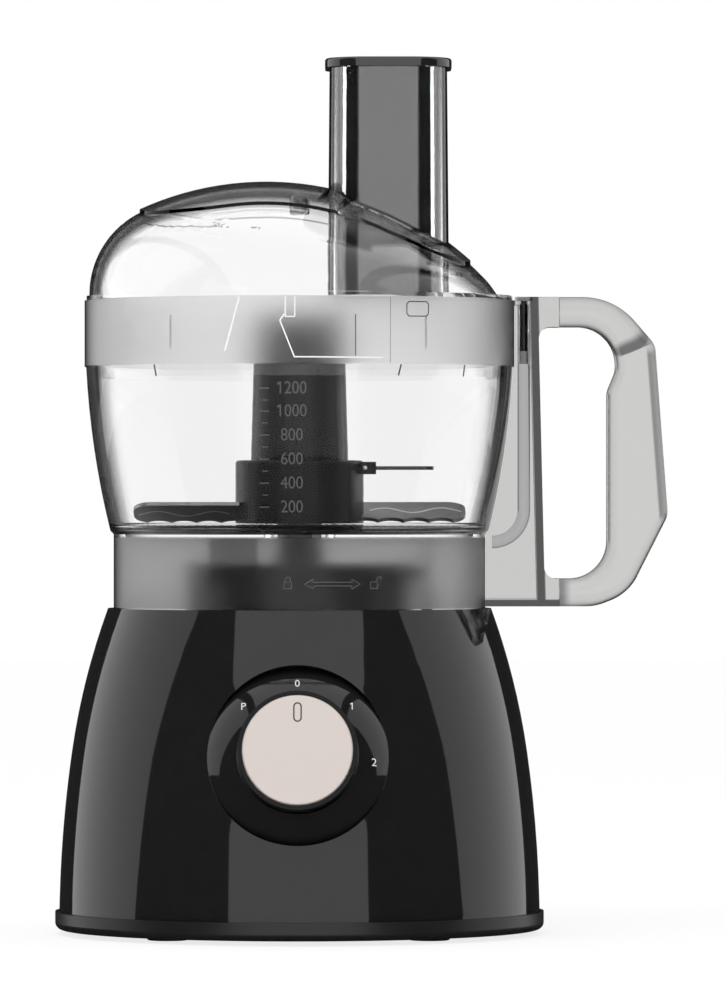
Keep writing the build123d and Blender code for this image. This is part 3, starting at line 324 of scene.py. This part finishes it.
moulded("carbon", (0.03, 0.03, 0.032), 0.55, 0.2, pits=3200.0, pit_depth=0.00004)
metal("screw_steel", (0.56, 0.56, 0.57), 0.32, (1, 1, 1), 1400.0)
metal("shaft_steel", (0.6, 0.6, 0.61), 0.25, (1, 1, 14), 500.0)
metal("bush_bronze", (0.62, 0.42, 0.2), 0.38, (1, 1, 1), 1800.0, 0.00004, 0.7)
metal("lamination", (0.36, 0.36, 0.38), 0.42, (0.02, 0.02, 1), 2400.0, 0.00006)
metal("copper", (0.72, 0.33, 0.16), 0.34, (0.1, 0.1, 1), 1800.0, 0.0001, 0.75)
metal("bracket", (0.5, 0.5, 0.51), 0.44, (1, 1, 1), 700.0, 0.00005)
metal("blade_steel", (0.2, 0.2, 0.205), 0.3, (1, 12, 12), 260.0, 0.00002, 0.85)
metal("dark_steel", (0.05, 0.05, 0.052), 0.34, (1, 12, 12), 260.0, 0.00002, 0.85)
print("opaque finishes:", len(finishes))

# %% [markdown]
# The dial's cap is spun metal foil in champagne: its fine lines run in circles round the dial's axis. The
# face of the dial leans back by ten degrees, so the distance from its axis is measured in that plane.

# %% Champagne cap
DIAL_LEAN = radians(10.0)
DIAL_CENTER = Vector((0.0, -92.6, 80.3)) * MM
DIAL_OUT = Vector((0.0, -cos(DIAL_LEAN), sin(DIAL_LEAN)))
DIAL_UP = Vector((0.0, sin(DIAL_LEAN), cos(DIAL_LEAN)))

cap = start("cap_champagne")
side, deep, tall = parts_of(spot(cap))
climb = (deep - DIAL_CENTER.y) * DIAL_UP.y + (tall - DIAL_CENTER.z) * DIAL_UP.z
ring = (side * side + climb * climb) ** 0.5
spun_lines = {"W": ring, "Scale": 5200.0, "Detail": 2.0}
rings = cap.add("ShaderNodeTexNoise", {"noise_dimensions": "1D"}, spun_lines)
close(
    cap,
    base_color=rings.ease(0.2, 0.8).blend((0.745, 0.665, 0.625, 1), (0.775, 0.70, 0.66, 1)),
    metallic=0.55,
    roughness=rings * 0.14 + 0.36,
    normal=bump(cap, rings, 0.000015, 0.35),
)
print("spun cap round", tuple(round(v, 4) for v in DIAL_CENTER))

# %% [markdown]
# Clear plastic is nearly colourless face on. Towards its outline its colour is painted darker. This is
# painted shade for the dark that its edges refract, and for the longer path through the wall where it is seen
# along its length. The rim band and the skirt are etched in the mould, which scatters the light: those
# heights get a high roughness, and the rest stays polished.

# %% Clear and smoky plastics
def clear_plastic(
    name, tint, outline, polish, frost=None, frost_level=0.3, turn=(0.56, 0.84), ior=1.49, smoke=()
):
    """See-through plastic whose colour goes from tint to outline as it turns away, as painted shade at its
    edges.

    frost marks the etched places, and the last argument lists places with a darker grey: a smoky tint of
    their own, or painted shade.
    """
    wire = start(name)
    facing = wire.add("ShaderNodeLayerWeight", {}, {"Blend": 0.5}, out="Facing")
    rough = grain(wire, 300.0, 3.0) * 0.02 + polish
    if frost:
        rough = rough + frost(*parts_of(spot(wire))) * (frost_level + grain(wire, 2600.0, 2.0) * 0.06)
        facing = facing - frost(*parts_of(spot(wire))) * 0.13
    face_on = (*tint, 1)
    for place, grey in smoke:
        face_on = place(*parts_of(spot(wire))).blend(face_on, (grey, grey, grey, 1))
    close(
        wire,
        base_color=facing.ease(*turn).blend(face_on, (*outline, 1)),
        roughness=rough,
        transmission_weight=1.0,
        ior=ior,
        normal=bump(wire, grain(wire, 22.0, 1.0), 0.0005, 0.008),
    )


def bowl_skirt(x, y, z):
    """The bowl below its floor, where it goes over the turret."""
    return 1 - z.ease(0.1735, 0.1748)


def band_and_skirt(x, y, z):
    """The etched places of the bowl: its rim band and its skirt."""
    return z.ease(0.2488, 0.2496) + bowl_skirt(x, y, z)


def lid_behind_band(x, y, z):
    """The etched place of the lid: its skirt, as far down as the band reaches."""
    return (1 - z.ease(0.2776, 0.2782)) * z.ease(0.2486, 0.2492)


# This near black is painted shade at the outlines of the clear plastics.
PAINTED_EDGE_SHADE = (0.004, 0.004, 0.004)
clear_plastic(
    "bowl_clear", (0.94, 0.94, 0.94), PAINTED_EDGE_SHADE, 0.0, band_and_skirt, 0.34, (0.5, 0.78),
    ior=1.24, smoke=[(bowl_skirt, 0.62)],
)
clear_plastic("lid_clear", (0.965, 0.965, 0.965), PAINTED_EDGE_SHADE, 0.0, lid_behind_band, 0.32, (0.58, 0.82), ior=1.3)
clear_plastic("chute_clear", (0.97, 0.97, 0.97), PAINTED_EDGE_SHADE, 0.0, turn=(0.36, 0.5), ior=1.4)
clear_plastic("lid_stub_smoke", (0.5, 0.5, 0.5), (0.05, 0.05, 0.05), 0.1)
print("clear finishes ready")

# %% [markdown]
# The handle is smoke-grey and slightly frosted. Its web is a thin plate, and shade is painted into its colour
# where more plastic lies in line with the eye: in its rim and round the channel of the interlock pin. The
# grip gets painted shade along the flat of its outer side, at the facet of its upper bend, and where it is
# seated on the web's lower stub. Each of these places is a small formula in the solid's own metres.

# %% Smoky handle
CHANNEL_X, BEND_X, BEND_Z = 0.0986, 0.0846, 0.1860


def web_rim(x, y, z):
    """The upright outer rim of the web, which leans out downwards, and its foot, which get painted shade."""
    past = x - ((0.2664 - z) * 0.0236 + 0.1049)
    upright = past.ease(-0.0036, -0.0031) * (1 - past.ease(0.0002, 0.0006))
    return upright.math("MAXIMUM", upright, 1 - z.ease(0.1464, 0.1470))


def pin_channel(x, y, z):
    """The pin's channel, which gets painted shade: straight down beside the rim, then a quarter turn towards
    the bowl.
    """
    straight = (1 - (x - CHANNEL_X).size().ease(0.0026, 0.0031)) * (z > BEND_Z)
    off = ((x - BEND_X) ** 2 + (z - BEND_Z) ** 2) ** 0.5 - (CHANNEL_X - BEND_X)
    return straight + (1 - off.size().ease(0.0026, 0.0031)) * (z < BEND_Z) * (x > BEND_X)


def grip_flat(x, y, z):
    """The narrow flat along the outer side of the grip, which gets painted shade."""
    past = x - ((0.2586 - z) * 0.075 + 0.1562)
    return past.ease(-0.0046, -0.0034) * z.ease(0.1800, 0.1840) * (1 - z.ease(0.2540, 0.2580))


def grip_facet(x, y, z):
    """The slanted facet where the upper bend meets the straight grip, which gets painted shade."""
    climb = z - (x - 0.1382) * 0.42
    return climb.ease(0.2520, 0.2524) * (1 - climb.ease(0.2555, 0.2600)) * x.ease(0.1380, 0.1420)


def grip_seat(x, y, z):
    """The lower end of the grip, on the web's stub, which gets painted shade."""
    return (1 - x.ease(0.1150, 0.1200)) * (1 - z.ease(0.1560, 0.1580))


# The greys listed for the web and the grip are painted shade.
clear_plastic(
    "web_smoke", (0.56, 0.56, 0.55), (0.2, 0.2, 0.2), 0.1, turn=(0.3, 0.8), ior=1.3,
    smoke=[(pin_channel, 0.4), (web_rim, 0.08)],
)
clear_plastic(
    "handle_smoke", (0.58, 0.58, 0.57), (0.2, 0.2, 0.2), 0.16, turn=(0.05, 0.7), ior=1.4,
    smoke=[(grip_flat, 0.12), (grip_facet, 0.14), (grip_seat, 0.22)],
)
print("finishes:", sorted(finishes))

# %% [markdown]
# The marks on the machine are small raised shapes: printed figures round the dial, moulded volume marks on
# the bowl, and the lock and unlock signs on its skirt. Each is drawn flat first, in millimetres, from the
# built-in font or from thin strokes. A stroke is a band of four-sided faces along its points, cut finely
# enough to follow a curved wall later.

# %% Strokes
def stroke(shape, points, width, ring=False, finest=1.5):
    """Adds a line of the given width through flat points, with square corners."""
    points = [Vector(point).to_2d() for point in points]
    if ring:
        points.append(points[0])
    fine = [points[0]]
    for first, last in zip(points, points[1:]):
        count = max(1, int((last - first).length / finest))
        fine += [first.lerp(last, number / count) for number in range(1, count + 1)]
    sides = []
    for number, point in enumerate(fine):
        before = fine[number - 1] if number else (fine[-2] if ring else point)
        after = fine[number + 1] if number + 1 < len(fine) else (fine[1] if ring else point)
        runs = [run.normalized() for run in (point - before, after - point) if run.length > 1e-9]
        along = sum(runs, Vector((0, 0))).normalized()
        off = Vector((-along.y, along.x)) * width / 2
        off = off / max(0.5, along.dot(runs[0]))
        sides.append([shape.verts.new((*(point + off), 0)), shape.verts.new((*(point - off), 0))])
    for low, high in zip(sides, sides[1:]):
        shape.faces.new((low[0], low[1], high[1], high[0]))


print("strokes ready")

# %% [markdown]
# Figures come from the built-in font, as a filled outline that becomes a flat mesh. The font's 1 is a bare
# upright, so a leading 1 gets a small flag.

# %% Figures
def written(words, tall, narrow=1.0):
    """The flat outline of a few figures, centred on the origin."""
    letters = bpy.data.curves.new("figures", "FONT")
    letters.body, letters.size, letters.resolution_u = words, tall, 5
    letters.align_x = letters.align_y = "CENTER"
    holder = bpy.data.objects.new("figures", letters)
    flat = bpy.data.meshes.new_from_object(holder)
    shape = bmesh.new()
    shape.from_mesh(flat)
    bpy.data.objects.remove(holder)
    bpy.data.meshes.remove(flat)
    bpy.data.curves.remove(letters)
    for corner in shape.verts:
        corner.co.x *= narrow
    if words.startswith("1"):
        left = min(corner.co.x for corner in shape.verts)
        top = max(corner.co.y for corner in shape.verts)
        flag = [(left - 0.13 * tall, top - 0.17 * tall), (left + 0.04 * tall, top - 0.05 * tall)]
        stroke(shape, flag, 0.1 * tall)
    return shape


print("figures ready")

# %% [markdown]
# A flat mark gets a thin body: its faces are extruded, and then each corner moves onto the surface that
# carries it. The lower side sinks in a little, so that no light shows under a mark. The mark rides on the
# body that it is printed on.

# %% Laying a mark onto a surface
def lay(name, shape, surface, at, body, finish, thick=0.14, sink=0.06):
    """Thickens a flat mark, moves it to at, lays it onto a surface and lets it ride on a body."""
    bmesh.ops.triangulate(shape, faces=[face for face in shape.faces if len(face.verts) > 4])
    bmesh.ops.recalc_face_normals(shape, faces=shape.faces)
    grown = bmesh.ops.extrude_face_region(shape, geom=list(shape.faces))
    for item in grown["geom"]:
        if isinstance(item, bmesh.types.BMVert):
            item.co.z = 1.0
    for corner in shape.verts:
        point, out = surface(corner.co.x + at[0], corner.co.y + at[1])
        corner.co = (point + out * (corner.co.z * (thick + sink) - sink)) * MM
    made = mesh_object(name, shape, smooth=False)
    made.data.materials.append(finishes[finish])
    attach(made, body)
    return made


# %% [markdown]
# White ink has a slightly dusty surface. The moulded marks on the bowl are etched: they read as grey figures
# on the clear wall, and as paler ones in front of the dark hub. Ridges are painted pale as a painted
# highlight, and grooves are painted near black as painted shade.

# %% Finishes of the marks
moulded("white_ink", (0.78, 0.78, 0.78), 0.5, 0.1, pits=2600.0, pit_depth=0.00002)
moulded("etched_mark", (0.1, 0.1, 0.1), 0.55, 0.12, pits=3000.0, pit_depth=0.00003)
# This pale grey is a painted highlight on the ridges of the clear band.
moulded("painted_ridge_highlight", (0.93, 0.93, 0.93), 0.3, 0.1, pits=2600.0, pit_depth=0.00002)
# Grooves, ticks and the pointer slot get this near black as painted shade.
moulded("painted_groove_shade", (0.05, 0.05, 0.05), 0.4, 0.1, pits=2600.0, pit_depth=0.00002)
metal("ground_steel", (0.8, 0.8, 0.81), 0.5, (12, 1, 1), 420.0)
print("finishes with those of the marks:", len(finishes))

# %% [markdown]
# The ring round the dial is part of a torus: it climbs from its rim and levels out a little at the knob. The
# figures lie on that curve, but are drawn as seen from the front of the dial so that they stay upright.

# %% Figures round the dial
RING_RIM, RING_BORE, RING_RISE, RING_BULGE = 38.8, 26.2, 11.0, 0.9
chord = Vector((RING_BORE - RING_RIM, RING_RISE))
ring_radius = (chord.length ** 2 / 4 + RING_BULGE ** 2) / (2 * RING_BULGE)
chord_out = Vector((chord.y, -chord.x)).normalized()
ring_middle = Vector((RING_RIM, 0)) + chord / 2 + chord_out * (RING_BULGE - ring_radius)


def dial_ring(across, climb):
    """The ring's surface in front of a point of the dial's plane, in millimetres."""
    reach = sqrt(across * across + climb * climb)
    high = ring_middle.y + sqrt(ring_radius ** 2 - (reach - ring_middle.x) ** 2)
    point = DIAL_CENTER / MM + Vector((across, 0, 0)) + DIAL_UP * climb + DIAL_OUT * high
    return point, DIAL_OUT


dial_places = {"P": (-23.3, 20.7), "0": (-0.2, 30.6), "1": (23.3, 20.8), "2": (32.7, -3.3)}
for words, place in dial_places.items():
    lay(f"dial_figure_{words}", written(words, 4.7), dial_ring, place, "base", "white_ink")
print("dial figures on a ring of radius", round(ring_radius, 2), "mm")

# %% [markdown]
# The pointer on the dial's cap is a narrow groove round a slot shape. A dark line of painted shade is laid
# into it, half a millimetre deep, and it turns with the knob.

# %% Pointer line in the cap
cap_face = max((corner.co - DIAL_CENTER).dot(DIAL_OUT) for corner in nodes["knob_cap"].data.vertices) / MM


def cap_front(across, climb):
    """The flat front of the cap, in millimetres from the dial's axis."""
    return DIAL_CENTER / MM + Vector((across, 0, 0)) + DIAL_UP * climb + DIAL_OUT * cap_face, DIAL_OUT


POINTER_HALF, POINTER_ROUND = 2.4, 1.55
pointer_ends = [(POINTER_HALF, range(0, 181, 20)), (-POINTER_HALF, range(180, 361, 20))]
pointer_path = [
    (POINTER_ROUND * cos(radians(turn)), middle + POINTER_ROUND * sin(radians(turn)))
    for middle, turns in pointer_ends for turn in turns
]
pointer = bmesh.new()
stroke(pointer, pointer_path, 0.62, ring=True)
lay("pointer_line", pointer, cap_front, (0, 16.3), "knob", "painted_groove_shade", thick=0.03, sink=0.5)
print("pointer line", round(cap_face, 2), "mm in front of the dial's centre")

# %% [markdown]
# The bowl's wall is an arc that is turned round the drive axis, so three points of its outline give its
# radius at any height. The volume figures and their lines sit on the front of that wall.

# %% Volume marks on the bowl
def arc_through(first, middle, last):
    """Centre and radius of the circle through three outline points (radius from the axis, height)."""
    (ax, ay), (bx, by), (cx, cy) = first, middle, last
    turn = 2 * (ax * (by - cy) + bx * (cy - ay) + cx * (ay - by))
    squares = [x * x + y * y for x, y in (first, middle, last)]
    ux = (squares[0] * (by - cy) + squares[1] * (cy - ay) + squares[2] * (ay - by)) / turn
    uy = (squares[0] * (cx - bx) + squares[1] * (ax - cx) + squares[2] * (bx - ax)) / turn
    return ux, uy, sqrt((ax - ux) ** 2 + (ay - uy) ** 2)


wall_x, wall_z, wall_r = arc_through((83.2, 177.0), (90.4, 214.0), (93.8, 249.0))


def round_wall(radius_at):
    """A surface turned round the drive axis: a mark's first number runs along its front, the second up."""
    def surface(along, high):
        radius = radius_at(high)
        turn = along / radius
        out = Vector((sin(turn), -cos(turn), 0))
        return out * radius + Vector((0, 0, high)), out
    return surface


bowl_wall = round_wall(lambda high: wall_x + sqrt(wall_r ** 2 - (high - wall_z) ** 2))
volumes = {1200: 238.4, 1000: 228.6, 800: 218.3, 600: 208.0, 400: 197.7, 200: 187.4}
for volume, high in volumes.items():
    lay(f"volume_{volume}", written(str(volume), 7.6, 0.86), bowl_wall, (-2.6, high), "bowl", "etched_mark")
scale_lines = bmesh.new()
for number, high in enumerate(sorted(volumes.values())):
    stroke(scale_lines, [(-16.6, high), (-12.4, high)], 0.5)
    if number:
        stroke(scale_lines, [(-15.4, high - 5.1), (-12.8, high - 5.1)], 0.4)
lay("volume_lines", scale_lines, bowl_wall, (0, 0), "bowl", "etched_mark")
print("volume marks:", len(volumes), "on a wall whose arc has radius", round(wall_r, 1))

# %% [markdown]
# The skirt carries a closed padlock, a two-headed arrow and an open padlock, to show which way to twist.
# They are thin outlines, made with the same strokes on a plain cylinder.

# %% Lock signs on the skirt
SKIRT_RADIUS, SIGN_LINE = 81.7, 0.35
skirt_wall = round_wall(lambda high: SKIRT_RADIUS)
arrow = bmesh.new()
stroke(arrow, [(2.8, 0), (6.6, 2.1), (6.6, 0.8), (23.4, 0.8), (23.4, 2.1), (27.2, 0),
               (23.4, -2.1), (23.4, -0.8), (6.6, -0.8), (6.6, -2.1)], SIGN_LINE, ring=True)
lay("twist_arrow", arrow, skirt_wall, (0, 154.3), "bowl", "etched_mark")


def padlock(shackle_place):
    """Outline of a padlock whose shackle stands at the given place along its body."""
    sign = bmesh.new()
    stroke(sign, [(-1.7, -2.2), (1.7, -2.2), (1.7, 0.6), (-1.7, 0.6)], SIGN_LINE, ring=True)
    reach = 1.1
    bend = [
        (shackle_place - reach * cos(radians(turn)), 1.7 + reach * sin(radians(turn)))
        for turn in range(0, 181, 20)
    ]
    free_end = 0.8 if shackle_place < 1 else 1.5
    stroke(sign, [(shackle_place - reach, 0.8), *bend, (shackle_place + reach, free_end)], SIGN_LINE)
    return sign


lay("lock_closed", padlock(0.0), skirt_wall, (-4.4, 154.6), "bowl", "etched_mark")
lay("lock_open", padlock(2.4), skirt_wall, (33.6, 154.6), "bowl", "etched_mark")
print("signs on a skirt of radius", SKIRT_RADIUS, "mm")

# %% [markdown]
# The rim band shows the lines of the bayonet. A slanted run, a hooked rib and a small notch are fine ridges,
# painted pale as a highlight, and two uprights and a rounded lug are grooves, painted dark as shade. The
# lid's skirt has three short ticks below the band, painted dark as shade like the grooves.

# %% Ridges on the rim band
BAND_RADIUS, LID_SKIRT_RADIUS = 94.5, 90.2
band_wall = round_wall(lambda high: BAND_RADIUS)
ridges = bmesh.new()
stroke(ridges, [(-25.4, 277.6), (-31.9, 254.5)], 0.8)
stroke(ridges, [(-5.8, 270.1), (-7.7, 267.4), (-1.5, 251.8), (37.4, 251.6)], 0.6)
stroke(ridges, [(-5.4, 277.6), (-5.4, 269.1), (-1.3, 269.1), (-1.3, 277.6)], 0.5)
lay("band_ridges", ridges, band_wall, (0, 0), "bowl", "painted_ridge_highlight", thick=0.08)
grooves = bmesh.new()
stroke(grooves, [(25.0, 270.1), (25.0, 252.4)], 0.4)
stroke(grooves, [(41.0, 277.6), (41.0, 249.6)], 0.15)
lug = [(50.0, 275.8), (58.9, 275.8), (60.0, 274.7), (60.0, 270.6), (58.9, 269.5), (50.0, 269.5),
       (48.9, 270.6), (48.9, 274.7)]
stroke(grooves, lug, 0.45, ring=True)
lay("band_grooves", grooves, band_wall, (0, 0), "bowl", "painted_groove_shade", thick=0.06)
ticks = bmesh.new()
for top, foot in ((-67.9, -66.7), (46.0, 44.6), (82.1, 81.0)):
    stroke(ticks, [(top, 248.9), (foot, 244.0)], 0.6)
lid_skirt_wall = round_wall(lambda high: LID_SKIRT_RADIUS)
lay("skirt_ticks", ticks, lid_skirt_wall, (0, 0), "lid", "painted_groove_shade", thick=0.2)
print("lines on the band: 3 ridges and 3 grooves")

# %% [markdown]
# Under the dome a short stub keeps the blade upright: a hollow tube with a rounded foot, turned on a lathe
# as a profile that is spun round the drive axis. The two rivets of the upper blade are made the same way.

# %% Turned pieces
def turned(profile, spot_at, axis, turns=32):
    """Spins an outline of (radius, length along the axis) points in millimetres into a mesh."""
    shape = bmesh.new()
    out = Vector(axis).normalized()
    first = out.orthogonal().normalized()
    second = out.cross(first)
    rings_made = []
    for radius, length in profile:
        center = Vector(spot_at) + out * length
        if radius < 1e-6:
            rings_made.append([shape.verts.new(center * MM)] * turns)
        else:
            angles = [2 * pi * number / turns for number in range(turns)]
            rings_made.append([
                shape.verts.new((center + (first * cos(angle) + second * sin(angle)) * radius) * MM)
                for angle in angles
            ])
    for low, high in zip(rings_made, rings_made[1:]):
        for number in range(turns):
            corners = [low[number], low[number - 1], high[number - 1], high[number]]
            shape.faces.new(list(dict.fromkeys(corners)))
    return shape


stub_outline = [(2.9, 1.4), (2.9, -9.0), (3.2, -9.6), (3.8, -9.6), (4.4, -9.0), (4.4, 1.4), (2.9, 1.4)]
stub = mesh_object("lid_stub", turned(stub_outline, (0, 0, 325.6), (0, 0, 1)))
stub.data.materials.append(finishes["lid_stub_smoke"])
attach(stub, "lid")

rivet_outline = [(0, 0.75), (0.5, 0.68), (0.85, 0.45), (1.0, 0.1), (1.0, -0.3), (0, -0.3)]
for number, along in enumerate((25.6, 28.8), 1):
    head = turned(rivet_outline, (along, -8.5, 204.6), (0, -1, 0), 20)
    rivet = mesh_object(f"blade_rivet_{number}", head)
    rivet.data.materials.append(finishes["ground_steel"])
    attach(rivet, "spindle")
print("turned pieces: stub and 2 rivets")

# %% [markdown]
# The cutting edges of the lower arms are ground in waves, and the border of the grinding shows as a bright
# wavy line along each arm. The line is a narrow ribbon on the face that leans to the front.

# %% Ground lines on the blades
BLADE_LEAN = radians(21.0)


def blade_face(hand):
    """The leaning face of one arm: along the arm from the axis, and across it."""
    across_arm = Vector((0, hand * cos(BLADE_LEAN), sin(BLADE_LEAN)))
    out = Vector((0, -sin(BLADE_LEAN), hand * cos(BLADE_LEAN)))
    def surface(along, off):
        return Vector((hand * along, 0, 185.2)) + across_arm * off + out * 0.8, out
    return surface


for number, hand in enumerate((1, -1), 1):
    wave = bmesh.new()
    crests = [(along, 2.8 * sin(2 * pi * (along - 31.0) / 25.0) + 0.6) for along in range(31, 72, 2)]
    stroke(wave, crests, 0.9)
    lay(f"ground_line_{number}", wave, blade_face(hand), (0, 0), "spindle", "ground_steel", thick=0.05)
print("ground lines: 2")

# %% [markdown]
# Each solid already carries the name of its finish in its material slot. Only the slot's material changes:
# the solids stay as they were made.

# %% Give the solids their finishes
for solid in nodes.values():
    for slot in solid.material_slots:
        slot.material = finishes[slot.material.name.split(".")[0]]
for name, finish in {"feed_chute": "chute_clear", "handle_web": "web_smoke", "knob_body": "knob_black",
                     "upper_blade": "dark_steel"}.items():
    nodes[name].material_slots[0].material = finishes[finish]
print("dressed solids:", len(nodes))

# %% [markdown]
